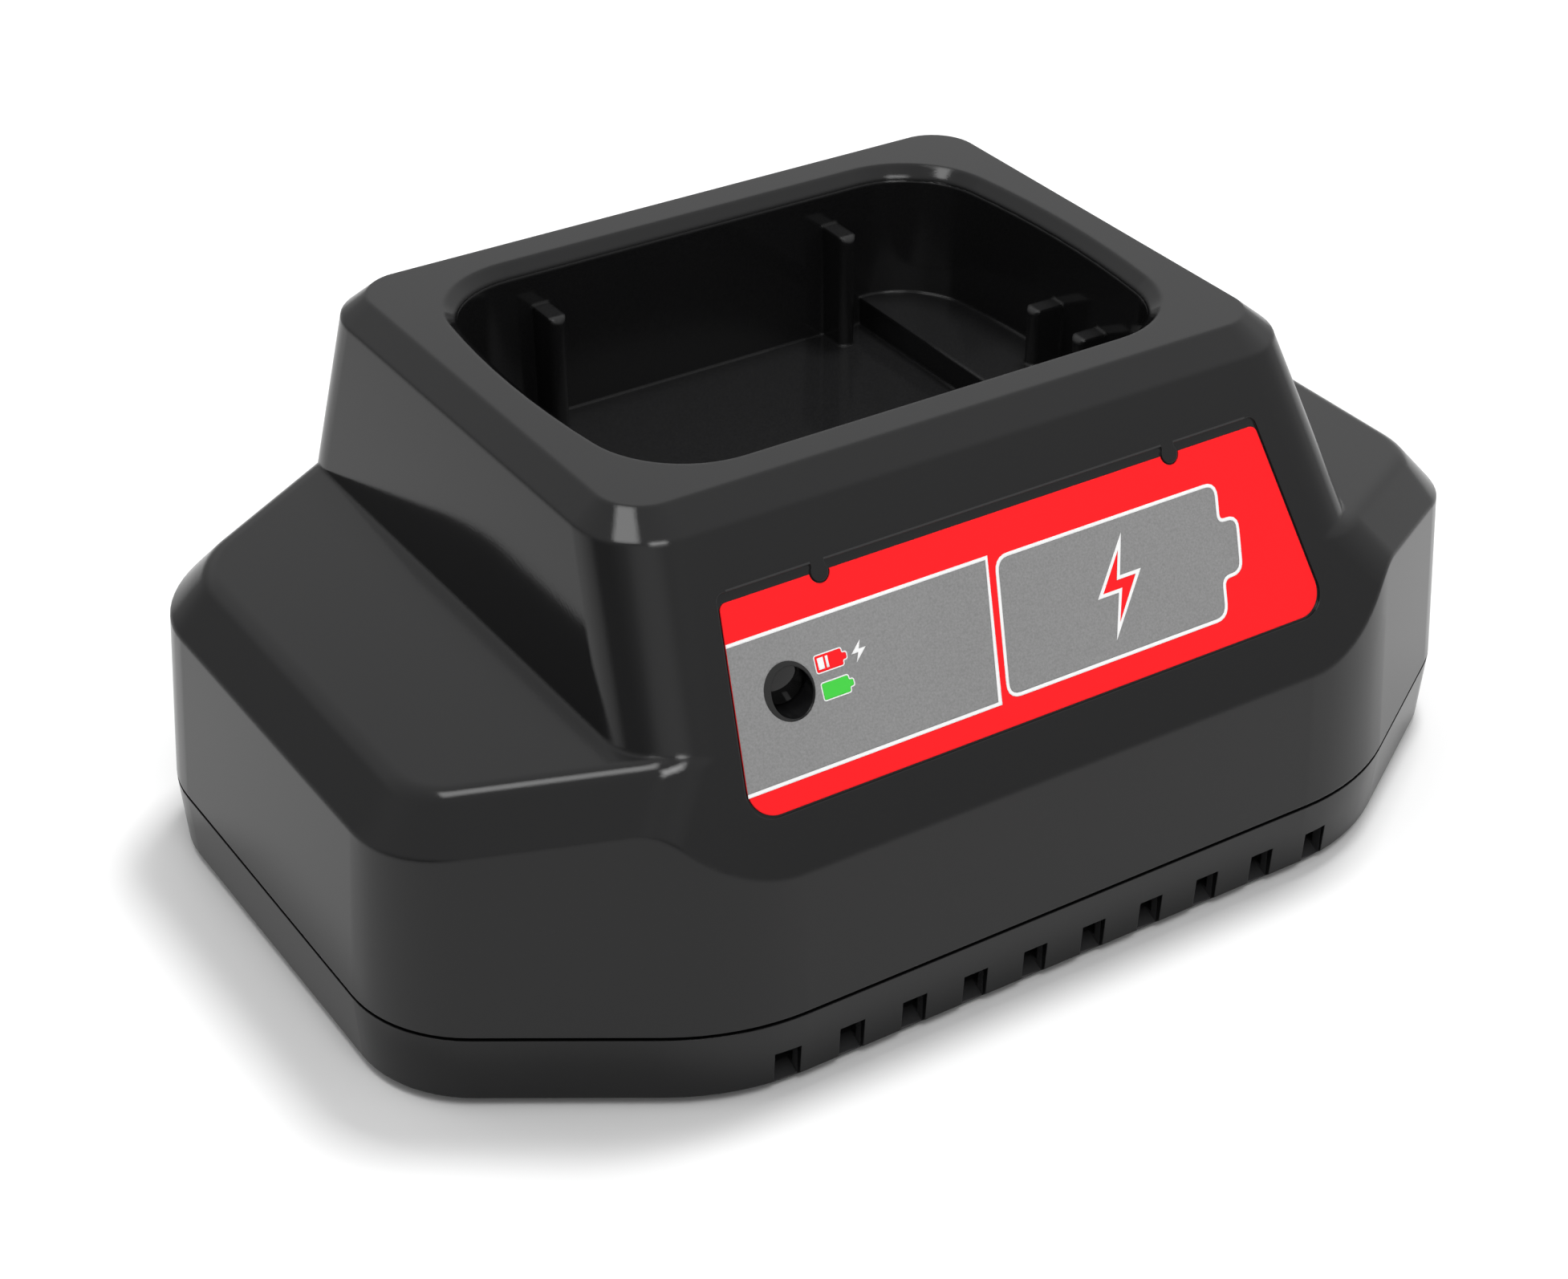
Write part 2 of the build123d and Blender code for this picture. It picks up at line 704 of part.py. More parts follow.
def inlet_pin(x, drop):
    near = inlet_pocket_y - inlet_body_depth - 8
    far = inlet_pocket_y + inlet_flange_thickness - 4
    pin = Pos(x, (near + far) / 2, inlet_z + drop) * Box(2, far - near, 4)
    tip = pin.faces().sort_by(Axis.Y)[-1].edges()
    return chamfer(tip, 0.5)


def tail_wire(x, drop):
    """One mains lead, from the end of its inlet tab down to the board."""
    start = inlet_pocket_y - inlet_body_depth - 8
    z = inlet_z + drop
    return cable(mains_wire, 5, (x, start, z), (x, start - 10, z), (x, start - 10, board_top))


def output_wire(x):
    """One battery lead, from under its contact down to the output header."""
    top = z_well - contact_tail
    head = board_top + output_header_size[2]
    return cable(
        battery_wire, 4, (x, contact_y, top), (x, contact_y, top - 16),
        (x, contact_y - 8, top - 26), (x, contact_y - 8, head),
    )


def led_wire(x):
    start = led_board_y + led_board_thickness
    z = light_z - 4
    return cable(led_wire_radius, 3, (x, start, z), (x, start + 5, z), (x, start + 5, board_top))


# ---- build and export ---------------------------------------------------------------
save("upper_case", upper_case())
save("base_tray", base_tray())
save("battery_well", battery_well())
save("front_label", front_label())
save("light_pipe", light_pipe())
save("led", led())
save("led_board", led_board())
save("led_wires", led_wire(light_x - 1.3), led_wire(light_x + 1.3))
save("contact_block", contact_block())
save("contact_blades", *[contact_blade(x) for x in contact_xs])

save("rubber_feet", *[Pos(x, y, 0) * rubber_foot() for x, y in foot_at])
plate = block(*plate_size, plate_thickness, 0, 0, z_tray + plate_recess - plate_thickness)
save("rating_plate", fillet(plate.edges().filter_by(Axis.Z), 2))

upward = Rot(180, 0, 0)
case_head = join_z - tube_top
save("case_screws", *[
    Pos(s * join_x, y, case_head) * upward * screw(case_screw, case_screw_length)
    for s in (-1, 1) for y in join_ys
])
ear_low = z_plate - ear_drop - ear_thickness
save("well_screws", *[
    Pos(s * ear_x, y, ear_low) * upward * screw(small_screw, small_screw_length + ear_thickness)
    for s in (-1, 1) for y in (mouth_y - ear_y, mouth_y + ear_y)
])
save("contact_screws", *[
    Pos(s * contact_screw_x, contact_y, z_well - well_wall) * upward
    * screw(tiny_screw, tiny_screw_length)
    for s in (-1, 1)
])
save("board_screws", *[
    Pos(s * board_hole_x, y, board_top) * screw(small_screw, small_screw_length)
    for s in (-1, 1) for y in board_hole_ys
])
backward = Rot(-90, 0, 0)
save("led_board_screws", *[
    Pos(light_x + s * led_screw_pitch / 2, led_board_y + led_board_thickness, light_z) * backward
    * screw(tiny_screw, tiny_screw_length)
    for s in (-1, 1)
])
inlet_front = inlet_pocket_y + inlet_flange_thickness
save("inlet_screws", *[
    Pos(s * inlet_screw_pitch / 2, inlet_front, inlet_z) * backward * screw(small_screw, 10)
    for s in (-1, 1)
])
save("inlet_nuts", *[
    Pos(s * inlet_screw_pitch / 2, inlet_pocket_y - wall, inlet_z) * Rot(90, 0, 0)
    * nut(small_screw)
    for s in (-1, 1)
])

save("main_board", main_board())
core, winding = transformer()
save("transformer_core", core)
save("transformer_winding", winding)
save("bulk_capacitors", *[can(*bulk_can, *at) for at in bulk_at])
save("output_capacitors", *[can(*output_can, *at) for at in output_at])
save("line_choke", component(choke_size, choke_at, 2))
save("film_capacitor", component(film_size, film_at, 1))
fuse_place = Pos(*fuse_at, board_top + fuse_radius + 1)
fuse = fuse_place * Rot(0, 90, 0) * Cylinder(fuse_radius, fuse_length)
save("fuse", fuse)
save("fuse_clips", *[
    block(*fuse_clip_size, fuse_at[0] + s * fuse_length * 0.35, fuse_at[1], board_top) - fuse
    for s in (-1, 1)
])
save("heat_sinks", *[heat_sink(*at) for at in sink_at])
save("power_transistors", *[transistor(*at) for at in sink_at])
save("control_chips", *[component(chip_size, at, 0.3) for at in chip_at])
save("output_header", block(*output_header_size, 0, contact_y - 8, board_top))

save("mains_inlet", inlet())
save("inlet_pins", *[inlet_pin(x, drop) for x, drop in inlet_pins_at()])
for name, (x, drop) in zip(("live", "earth", "neutral"), inlet_pins_at()):
    save(f"mains_wire_{name}", tail_wire(x, drop))
for name, x in zip(("negative", "sense", "positive"), contact_xs):
    save(f"battery_wire_{name}", output_wire(x))
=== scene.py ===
from math import cos, pi, radians, sin

import bpy
from mathutils import Matrix, Quaternion, Vector


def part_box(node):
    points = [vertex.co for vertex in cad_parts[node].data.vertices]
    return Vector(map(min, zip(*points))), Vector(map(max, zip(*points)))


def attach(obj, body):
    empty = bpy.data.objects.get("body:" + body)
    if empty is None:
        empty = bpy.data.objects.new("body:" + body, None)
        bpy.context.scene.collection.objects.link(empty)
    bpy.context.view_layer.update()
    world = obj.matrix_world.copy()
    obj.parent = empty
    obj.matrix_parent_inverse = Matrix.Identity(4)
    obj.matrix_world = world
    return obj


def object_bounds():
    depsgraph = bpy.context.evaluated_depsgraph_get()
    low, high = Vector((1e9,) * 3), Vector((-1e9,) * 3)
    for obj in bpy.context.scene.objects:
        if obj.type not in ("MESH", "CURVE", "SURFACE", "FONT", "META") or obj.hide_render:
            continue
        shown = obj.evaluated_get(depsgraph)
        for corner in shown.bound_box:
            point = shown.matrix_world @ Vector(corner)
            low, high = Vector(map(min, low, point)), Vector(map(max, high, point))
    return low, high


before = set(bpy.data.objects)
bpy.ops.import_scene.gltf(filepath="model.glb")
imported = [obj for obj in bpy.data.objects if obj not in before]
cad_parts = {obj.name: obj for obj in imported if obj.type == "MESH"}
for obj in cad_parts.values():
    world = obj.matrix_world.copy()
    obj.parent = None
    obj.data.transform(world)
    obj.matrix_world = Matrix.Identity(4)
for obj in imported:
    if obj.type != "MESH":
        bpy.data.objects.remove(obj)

cad_low, cad_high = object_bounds()
MM = 0.001

# Camera: the dock stands with its front left corner towards the viewer, seen
# from about a third of a right angle above the table with a moderate tele lens.
def placed(name, data):
    """A new object in the scene, at the origin."""
    thing = bpy.data.objects.new(name, data)
    bpy.context.scene.collection.objects.link(thing)
    return thing


viewer = bpy.data.cameras.new("viewer")
viewer.sensor_fit = "HORIZONTAL"
viewer.sensor_width = 36.0
viewer.lens = 70.76
viewer.clip_start = 0.01
viewer.clip_end = 50.0
viewer_place = placed("viewer", viewer)
viewer_place.rotation_mode = "QUATERNION"
viewer_place.location = (-0.28214, -0.41939, 0.35544)
viewer_turn = Vector((0.4562, 0.7069, -0.5405)).to_track_quat("-Z", "Y")
viewer_roll = Quaternion((0, 0, 1), radians(0.15))
viewer_place.rotation_quaternion = viewer_turn @ viewer_roll
bpy.context.scene.camera = viewer_place
bpy.context.scene.view_settings.view_transform = "Standard"

# Studio: a white seamless table in a pale room that is brighter on the right and
# low down behind the viewer, with three soft boxes high over the dock.
def maths(tree, operation, *values):
    """The result of a Math node, whose inputs are numbers or other nodes' outputs."""
    node = tree.nodes.new("ShaderNodeMath")
    node.operation = operation
    for socket, value in zip(node.inputs, values):
        if isinstance(value, float):
            socket.default_value = value
        else:
            tree.links.new(value, socket)
    return node.outputs["Value"]


def mixed(tree, kind, share, plain, other):
    """The result of a Mix node between two values of one kind, for a share from 0 to 1."""
    node = tree.nodes.new("ShaderNodeMix")
    node.data_type = kind
    node.inputs["B"].default_value = other
    tree.links.new(share, node.inputs["Factor"])
    if isinstance(plain, bpy.types.NodeSocket):
        tree.links.new(plain, node.inputs["A"])
    else:
        node.inputs["A"].default_value = plain
    return node.outputs["Result"]


def eased(tree, value, start, end, gain=1.0):
    """A value that eases from 0 at the start to the gain at the end."""
    node = tree.nodes.new("ShaderNodeMapRange")
    node.interpolation_type = "SMOOTHSTEP"
    node.inputs["From Min"].default_value = start
    node.inputs["From Max"].default_value = end
    node.inputs["To Max"].default_value = gain
    tree.links.new(value, node.inputs["Value"])
    return node.outputs["Result"]


def seen_directly(tree):
    """1 for what is seen straight or through glass, and 0 for what is mirrored or lights."""
    path = tree.nodes.new("ShaderNodeLightPath")
    return maths(
        tree, "MAXIMUM", path.outputs["Is Camera Ray"], path.outputs["Is Transmission Ray"],
    )


room = bpy.data.worlds.new("pale room")
room.use_nodes = True
room_tree = room.node_tree
room_light = room_tree.nodes["Background"]
room_light.inputs["Color"].default_value = (1.0, 1.0, 1.0, 1.0)
room_way = room_tree.nodes.new("ShaderNodeTexCoord").outputs["Generated"]


def room_glow(way, start, end, gain):
    """Light that grows towards one way, between two cosines of the angle from it."""
    nearness = room_tree.nodes.new("ShaderNodeVectorMath")
    nearness.operation = "DOT_PRODUCT"
    nearness.inputs[1].default_value = way
    room_tree.links.new(room_way, nearness.inputs[0])
    return eased(room_tree, nearness.outputs["Value"], start, end, gain)


room_dimness = 0.22
backdrop_white = 1.0
ceiling = room_glow((0.0, 0.0, 1.0), 0.15, 0.5, 0.26)
right_wall = room_glow((0.95, 0.31, 0.0), -1.0, 1.0, 0.25)
low_window = room_glow((-0.53, -0.78, 0.31), 0.84, 1.0, 0.3)
room_level = maths(room_tree, "ADD", ceiling, room_dimness)
room_level = maths(room_tree, "ADD", right_wall, room_level)
room_level = maths(room_tree, "ADD", low_window, room_level)
room_seen = mixed(room_tree, "FLOAT", seen_directly(room_tree), room_level, backdrop_white)
room_tree.links.new(room_seen, room_light.inputs["Strength"])
bpy.context.scene.world = room

table_half = 3.0
table_mesh = bpy.data.meshes.new("table")
table_mesh.from_pydata(
    [(-table_half, -table_half, 0), (table_half, -table_half, 0),
     (table_half, table_half, 0), (-table_half, table_half, 0)],
    [], [(0, 1, 2, 3)],
)
table = placed("table", table_mesh)
table_white = bpy.data.materials.new("table white")
table_white.use_nodes = True
table_tree = table_white.node_tree
table_skin = table_tree.nodes["Principled BSDF"]
table_skin.inputs["Roughness"].default_value = 0.9
table_skin.inputs["Specular IOR Level"].default_value = 0.0
table_mirrored, table_plain = (0.55, 0.55, 0.55, 1.0), (0.85, 0.85, 0.85, 1.0)
table_seen = seen_directly(table_tree)
table_shade = mixed(table_tree, "RGBA", table_seen, table_mirrored, table_plain)
table_tree.links.new(table_shade, table_skin.inputs["Base Color"])
# Beyond the dock's shadow the table fades into the white of the room.
fade_start, fade_end = 0.35, 1.0
table_place = table_tree.nodes.new("ShaderNodeTexCoord")
table_reach = table_tree.nodes.new("ShaderNodeVectorMath")
table_reach.operation = "LENGTH"
table_tree.links.new(table_place.outputs["Object"], table_reach.inputs[0])
table_far = eased(table_tree, table_reach.outputs["Value"], fade_start, fade_end)
table_glow = maths(table_tree, "MULTIPLY", table_far, table_seen)
table_skin.inputs["Emission Color"].default_value = (1.0, 1.0, 1.0, 1.0)
table_tree.links.new(table_glow, table_skin.inputs["Emission Strength"])
table_mesh.materials.append(table_white)


lamp_distance = 1.5


def soft_box(name, way, size, level, mirrored=True):
    """A square area lamp that shines on the dock from one direction."""
    lamp = bpy.data.lights.new(name, "AREA")
    lamp.shape = "SQUARE"
    lamp.size = size
    lamp.energy = level * pi * size * size
    box = placed(name, lamp)
    box.location = (cad_low + cad_high) / 2 + Vector(way).normalized() * lamp_distance
    box.rotation_mode = "QUATERNION"
    box.rotation_quaternion = (-Vector(way)).to_track_quat("-Z", "Y")
    box.visible_glossy = mirrored


soft_box("key box", (-0.11, -0.5, 0.857), size=0.5, level=6.0)
soft_box("overhead box", (-0.27, 0.16, 0.95), size=0.5, level=3.8)
soft_box("shadow box", (0.23, 0.1, 0.93), size=0.31, level=46.0, mirrored=False)


# Upper case: one injection-moulded black ABS shell with a spark-eroded satin
# skin. Its outer edges are softened a little, as any moulded edge is.
def grain_group():
    """Mould grain: a fine bump over softened edges, with small changes in gloss and tone."""
    group = bpy.data.node_groups.new("mould grain", "ShaderNodeTree")
    for name, kind, value in (
        ("Colour", "NodeSocketColor", (0.01, 0.01, 0.01, 1.0)),
        ("Grain Size", "NodeSocketFloat", 2200.0),
        ("Grain Depth", "NodeSocketFloat", 0.1),
        ("Roughness", "NodeSocketFloat", 0.3),
        ("Roughness Spread", "NodeSocketFloat", 0.04),
        ("Tone Spread", "NodeSocketFloat", 0.08),
        ("Speck Spread", "NodeSocketFloat", 0.2),
        ("Edge Radius", "NodeSocketFloat", 0.3 * MM),
    ):
        socket = group.interface.new_socket(name, in_out="INPUT", socket_type=kind)
        socket.default_value = value
    for name, kind in (
        ("Colour", "NodeSocketColor"), ("Roughness", "NodeSocketFloat"), ("Normal", "NodeSocketVector"),
    ):
        group.interface.new_socket(name, in_out="OUTPUT", socket_type=kind)
    nodes, links = group.nodes, group.links
    given = nodes.new("NodeGroupInput")
    result = nodes.new("NodeGroupOutput")
    place = nodes.new("ShaderNodeTexCoord")

    def noise(scale, detail):
        node = nodes.new("ShaderNodeTexNoise")
        node.inputs["Scale"].default_value = scale
        node.inputs["Detail"].default_value = detail
        links.new(place.outputs["Object"], node.inputs["Vector"])
        return node, maths(group, "SUBTRACT", node.outputs["Fac"], 0.5)

    def spread(swing, amount, base):
        return maths(group, "MULTIPLY_ADD", swing, given.outputs[amount], base)

    fine, fine_swing = noise(1.0, 2.0)
    links.new(given.outputs["Grain Size"], fine.inputs["Scale"])
    broad_swing = noise(35.0, 4.0)[1]
    edge = nodes.new("ShaderNodeBevel")
    links.new(given.outputs["Edge Radius"], edge.inputs["Radius"])
    bump = nodes.new("ShaderNodeBump")
    bump.inputs["Distance"].default_value = 0.05 * MM
    links.new(given.outputs["Grain Depth"], bump.inputs["Strength"])
    links.new(fine.outputs["Fac"], bump.inputs["Height"])
    links.new(edge.outputs["Normal"], bump.inputs["Normal"])
    rough = spread(broad_swing, "Roughness Spread", given.outputs["Roughness"])
    tone = spread(broad_swing, "Tone Spread", 1.0)
    speck = spread(fine_swing, "Speck Spread", tone)
    shade = nodes.new("ShaderNodeVectorMath")
    shade.operation = "SCALE"
    links.new(given.outputs["Colour"], shade.inputs[0])
    links.new(speck, shade.inputs["Scale"])
    links.new(shade.outputs["Vector"], result.inputs["Colour"])
    links.new(rough, result.inputs["Roughness"])
    links.new(bump.outputs["Normal"], result.inputs["Normal"])
    return group


mould_grain = grain_group()


def grained(name, colour, roughness, **values):
    """A material whose colour, gloss and bump come from the mould grain."""
    material = bpy.data.materials.new(name)
    material.use_nodes = True
    tree = material.node_tree
    skin = tree.nodes["Principled BSDF"]
    grain = tree.nodes.new("ShaderNodeGroup")
    grain.name = "grain"
    grain.node_tree = mould_grain
    grain.inputs["Colour"].default_value = (*colour, 1.0)
    grain.inputs["Roughness"].default_value = roughness
    for socket, value in values.items():
        grain.inputs[socket.replace("_", " ").title()].default_value = value
    tree.links.new(grain.outputs["Colour"], skin.inputs["Base Color"])
    tree.links.new(grain.outputs["Roughness"], skin.inputs["Roughness"])
    tree.links.new(grain.outputs["Normal"], skin.inputs["Normal"])
    return material


def wear(material, *nodes):
    """Puts a material on CAD nodes."""
    for node in nodes:
        for slot in bpy.data.objects[node].material_slots:
            slot.material = material


def skin_of(material):
    return material.node_tree.nodes["Principled BSDF"]


def inside(material, low, high):
    """A mask that is 1 between two corners of a box, read from the object's own place."""
    tree = material.node_tree
    place = tree.nodes.new("ShaderNodeTexCoord")
    offset = tree.nodes.new("ShaderNodeVectorMath")
    offset.operation = "SUBTRACT"
    offset.inputs[1].default_value = (Vector(low) + Vector(high)) / 2
    tree.links.new(place.outputs["Object"], offset.inputs[0])
    reach = tree.nodes.new("ShaderNodeVectorMath")
    reach.operation = "ABSOLUTE"
    tree.links.new(offset.outputs["Vector"], reach.inputs[0])
    axes = tree.nodes.new("ShaderNodeSeparateXYZ")
    tree.links.new(reach.outputs["Vector"], axes.inputs["Vector"])
    within_x, within_y, within_z = (
        maths(tree, "LESS_THAN", axes.outputs[axis], half)
        for axis, half in zip("XYZ", (Vector(high) - Vector(low)) / 2)
    )
    return maths(tree, "MULTIPLY", maths(tree, "MULTIPLY", within_x, within_y), within_z)


def soft_edges(material, wide, narrow):
    """Wide soft edges on the form above the seam, but narrow ones round the label's recess."""
    tree = material.node_tree
    case_low, case_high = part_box("upper_case")
    recess_low, recess_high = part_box("front_label")
    above_seam = Vector((0, 0, 8)) * MM
    margin = Vector((2, 2, 2)) * MM
    form = inside(material, case_low + above_seam - margin, case_high + margin)
    recess = inside(material, recess_low - margin, recess_high + margin)
    radius = tree.nodes.new("ShaderNodeMapRange")
    radius.inputs["To Min"].default_value = narrow
    radius.inputs["To Max"].default_value = wide
    tree.links.new(maths(tree, "SUBTRACT", form, recess), radius.inputs["Value"])
    tree.links.new(radius.outputs["Result"], tree.nodes["grain"].inputs["Edge Radius"])


def tinted(material, mask, colour):
    """Another colour under a mask, with the same grain over it."""
    tree = material.node_tree
    ground = tree.nodes["grain"].inputs["Colour"]
    tone = mixed(tree, "RGBA", mask, ground.default_value, (*colour, 1.0))
    tree.links.new(tone, ground)


def painted_lip_highlight(material, colour):
    """A painted highlight: a thin pale line on the upper lip of the label's recess, where its rounded
    edge catches the light, beside and between its tabs.
    """
    tree = material.node_tree
    lip_back, lip_up, thickness, depth = 19.0, 33.33, 0.3, 2.0
    tab_centre, tab_half, line_end = 37.5, 1.36, 55.5
    near, far = tab_centre - tab_half, tab_centre + tab_half
    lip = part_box("front_label")[0] / MM + Vector((0, lip_back, lip_up))
    left, middle, right = (
        inside(
            material, Vector((start, lip.y - depth, lip.z)) * MM,
            Vector((end, lip.y + depth, lip.z + thickness)) * MM,
        )
        for start, end in ((-line_end, -far), (-near, near), (far, line_end))
    )
    line = maths(tree, "MAXIMUM", maths(tree, "MAXIMUM", left, middle), right)
    tinted(material, line, colour)


case_black = grained("case black", (0.0055, 0.0055, 0.0058), 0.09)
soft_edges(case_black, 1.2 * MM, 0.35 * MM)
# Painted highlight: a thin pale line along the upper lip of the label's recess.
painted_lip_highlight(case_black, (0.028, 0.028, 0.0285))
wear(case_black, "upper_case")

# Base tray: the lower half of the case in the same black, with its lip inside
# the seam and a row of vent notches in each long side. It is a shade duller.
tray_black = grained("tray black", (0.0055, 0.0055, 0.0058), 0.13)


def painted_vent_light(material, colour):
    """Painted light inside the vents: a paler colour that stands in for the light reaching into them.
    """
    tray_low, tray_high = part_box("base_tray")
    vent_reach, vent_top, outer_depth = 64 * MM, 9 * MM, 1.8 * MM
    vents = inside(
        material, (-vent_reach, tray_low.y + outer_depth, tray_low.z),
        (vent_reach, tray_high.y - outer_depth, tray_low.z + vent_top),
    )
    tinted(material, vents, colour)


# Painted light: the insides of the vents are drawn paler than the tray's black.
painted_vent_light(tray_black, (0.035, 0.035, 0.036))
wear(tray_black, "base_tray")

# Rubber feet and rating plate, under the tray. The plate is a bare film here:
# satin silver, without any print.
foot_rubber = grained("foot rubber", (0.02, 0.02, 0.02), 0.75, grain_size=900.0, grain_depth=0.4)
wear(foot_rubber, "rubber_feet")
plate_silver = grained("plate silver", (0.4, 0.41, 0.42), 0.4, grain_depth=0.05)
wear(plate_silver, "rating_plate")

# Battery well: a separate liner moulded in polished black, so that a pack
# slides in easily. The contact block on its floor is the same glossy grade.
well_gloss = grained(
    "well gloss", (0.0095, 0.0095, 0.0098), 0.12,
    grain_depth=0.05, speck_spread=0.8, edge_radius=1.1 * MM,
)
wear(well_gloss, "battery_well", "contact_block")


# Contact blades: three nickel-flashed brass strips in the block. The pins of
# the inlet and the fuse clips are stamped from the same strip.
def metal(name, colour, roughness, **values):
    material = grained(name, colour, roughness, **values)
    skin_of(material).inputs["Metallic"].default_value = 1.0
    return material


contact_metal = metal("contact metal", (0.72, 0.6, 0.36), 0.25, roughness_spread=0.2)
wear(contact_metal, "contact_blades", "inlet_pins", "fuse_clips")

# Front label: a printed polyester film in the case's shallow recess. The CAD
# node is its red ground; panel, lines and signs are screen-printed layers on it.
label_low, label_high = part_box("front_label")
slope = radians(30.0)
film = 0.25
label_half, label_top_half = 62.5, 57.3
up_slope = Vector((0, sin(slope), cos(slope)))
out_slope = Vector((0, -cos(slope), sin(slope)))
label_foot = Vector((0, label_low.y, label_low.z + film * MM * sin(slope)))
label_height = (label_high.z - label_foot.z) / MM / cos(slope)
label_lean = (label_half - label_top_half) / label_height
label_signal = (1.0, 0.0145, 0.0195)


def matt_print(name, colour, **values):
    material = grained(name, colour, 0.55, grain_depth=0.03, **values)
    skin_of(material).inputs["Specular IOR Level"].default_value = 0.12
    return material


label_red = matt_print("label red", label_signal, speck_spread=0.0, tone_spread=0.0)
wear(label_red, "front_label")


def rounded(points, radius, steps=5):
    """A closed outline with its corners turned into short arcs, in millimetres."""
    longest_share = 0.45
    outline = []
    for index, point in enumerate(points):
        corner = Vector(point)
        before = Vector(points[index - 1]) - corner
        after = Vector(points[(index + 1) % len(points)]) - corner
        reach = min(radius, before.length * longest_share, after.length * longest_share)
        start = corner + before.normalized() * reach
        end = corner + after.normalized() * reach
        for step in range(steps + 1):
            t = step / steps
            outline.append(tuple(start * (1 - t) ** 2 + corner * 2 * t * (1 - t) + end * t * t))
    return outline


def round_outline(centre, radii, steps=48):
    """An upright ellipse."""
    turns = [2 * pi * step / steps for step in range(steps)]
    return [(centre[0] + radii[0] * cos(t), centre[1] + radii[1] * sin(t)) for t in turns]


def printed(name, outlines, level, material):
    """A thin printed layer on the label: outlines in millimetres, across and up from
    the middle of its lower edge, filled between an outer line and the holes in it.
    Its level is how far its lower and upper faces stand out from the film."""
    low, high = level
    curve = bpy.data.curves.new(name, "CURVE")
    curve.dimensions = "2D"
    curve.fill_mode = "BOTH"
    curve.extrude = (high - low) * MM / 2
    for outline in outlines:
        line = curve.splines.new("POLY")
        line.points.add(len(outline) - 1)
        for point, (across, up) in zip(line.points, outline):
            point.co = (across * MM, up * MM, 0, 1)
        line.use_cyclic_u = True
    flat = placed(name + "_flat", curve)
    bpy.context.view_layer.update()
    seen = flat.evaluated_get(bpy.context.evaluated_depsgraph_get())
    mesh = bpy.data.meshes.new_from_object(seen)
    bpy.data.objects.remove(flat)
    bpy.data.curves.remove(curve)
    origin = label_foot + out_slope * (low + high) / 2 * MM
    place = Matrix((Vector((1, 0, 0)), up_slope, out_slope)).transposed().to_4x4()
    place.translation = origin
    mesh.transform(place)
    mesh.name = name
    mesh.materials.clear()
    mesh.materials.append(material)
    piece = placed(name, mesh)
    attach(piece, "root")


ink_grey = matt_print("ink grey", (0.26, 0.26, 0.26), grain_size=2600.0, speck_spread=0.55)
ink_white = matt_print("ink white", (0.95, 0.95, 0.95), speck_spread=0.0)
ink_red = matt_print("ink red", label_signal, speck_spread=0.0)
ink_green = matt_print("ink green", (0.0704, 0.645, 0.0704), speck_spread=0.0)
ink_black = matt_print("ink black", (0.03, 0.03, 0.03))

line_width = 0.65
layer = 0.03
first_ink, second_ink, third_ink = (0.0, layer), (layer, 2 * layer), (2 * layer, 3 * layer)
line_ink, bolt_ink = (0.0, 1.2 * layer), (layer, 1.4 * layer)
panel_top, panel_bottom, panel_right = 29.2, 4.95, -5.5
panel_lean = 0.204


def label_edge(up):
    """Just inside the label's left edge at a height, in millimetres."""
    edge_gap = 0.06
    return label_lean * up - label_half + edge_gap


def slanted(left, right, bottom, top, lean):
    """A slanted four-sided outline; left and right are where its sides meet its top."""
    drop = (top - bottom) * lean
    return [(left - drop, bottom), (right - drop, bottom), (right, top), (left, top)]


panel = slanted(0, panel_right, panel_bottom, panel_top, panel_lean)
panel[0] = (label_edge(panel_bottom), panel_bottom)
panel[3] = (label_edge(panel_top), panel_top)
light_hole = round_outline(centre=(-48.5, 18.5), radii=(4.1, 4.6))
light_ring = round_outline(centre=(-49.0, 19.0), radii=(4.9, 5.15))
printed("label_panel", [panel, light_ring], first_ink, ink_grey)
printed("label_light_ring", [light_ring, light_hole], (-film, layer), ink_black)

lines = [
    (label_edge(panel_top + line_width), panel_top + line_width),
    (panel_right + line_width, panel_top + line_width),
    (panel[1][0] + line_width, panel_bottom - line_width),
    (label_edge(panel_bottom - line_width), panel_bottom - line_width),
    *panel,
]
printed("label_lines", [lines], line_ink, ink_white)


def battery(left, right, bottom, top, lean, nub, radius):
    """A battery seen from the side, with its terminal at the right."""
    body = slanted(left, right, bottom, top, lean)
    middle = (bottom + top) / 2
    half = (top - bottom) * 0.2
    side = right - (top - middle) * lean
    body[2:2] = [
        (side - half * lean, middle - half), (side - half * lean + nub, middle - half),
        (side + half * lean + nub, middle + half), (side + half * lean, middle + half),
    ]
    return rounded(body, radius)


def grown(outline, amount):
    """The same outline moved outwards, or inwards for a negative amount."""
    sharpest = 0.2
    moved = []
    for index, point in enumerate(outline):
        into = (Vector(point) - Vector(outline[index - 1])).normalized()
        away = (Vector(outline[(index + 1) % len(outline)]) - Vector(point)).normalized()
        mitre = (into + away).normalized()
        reach = amount / max(mitre.dot(away), sharpest)
        moved.append((point[0] + mitre.y * reach, point[1] - mitre.x * reach))
    return moved


def bolt(centre, height, width=1.0):
    """A lightning bolt that leans a little to the right."""
    lean = 0.15
    shape = ((0.1, 0.5), (-0.28, -0.06), (-0.02, -0.06), (-0.12, -0.5), (0.28, 0.1), (0.02, 0.1))
    return [
        (centre[0] + (across * width + lean * up) * height, centre[1] + up * height)
        for across, up in shape
    ]


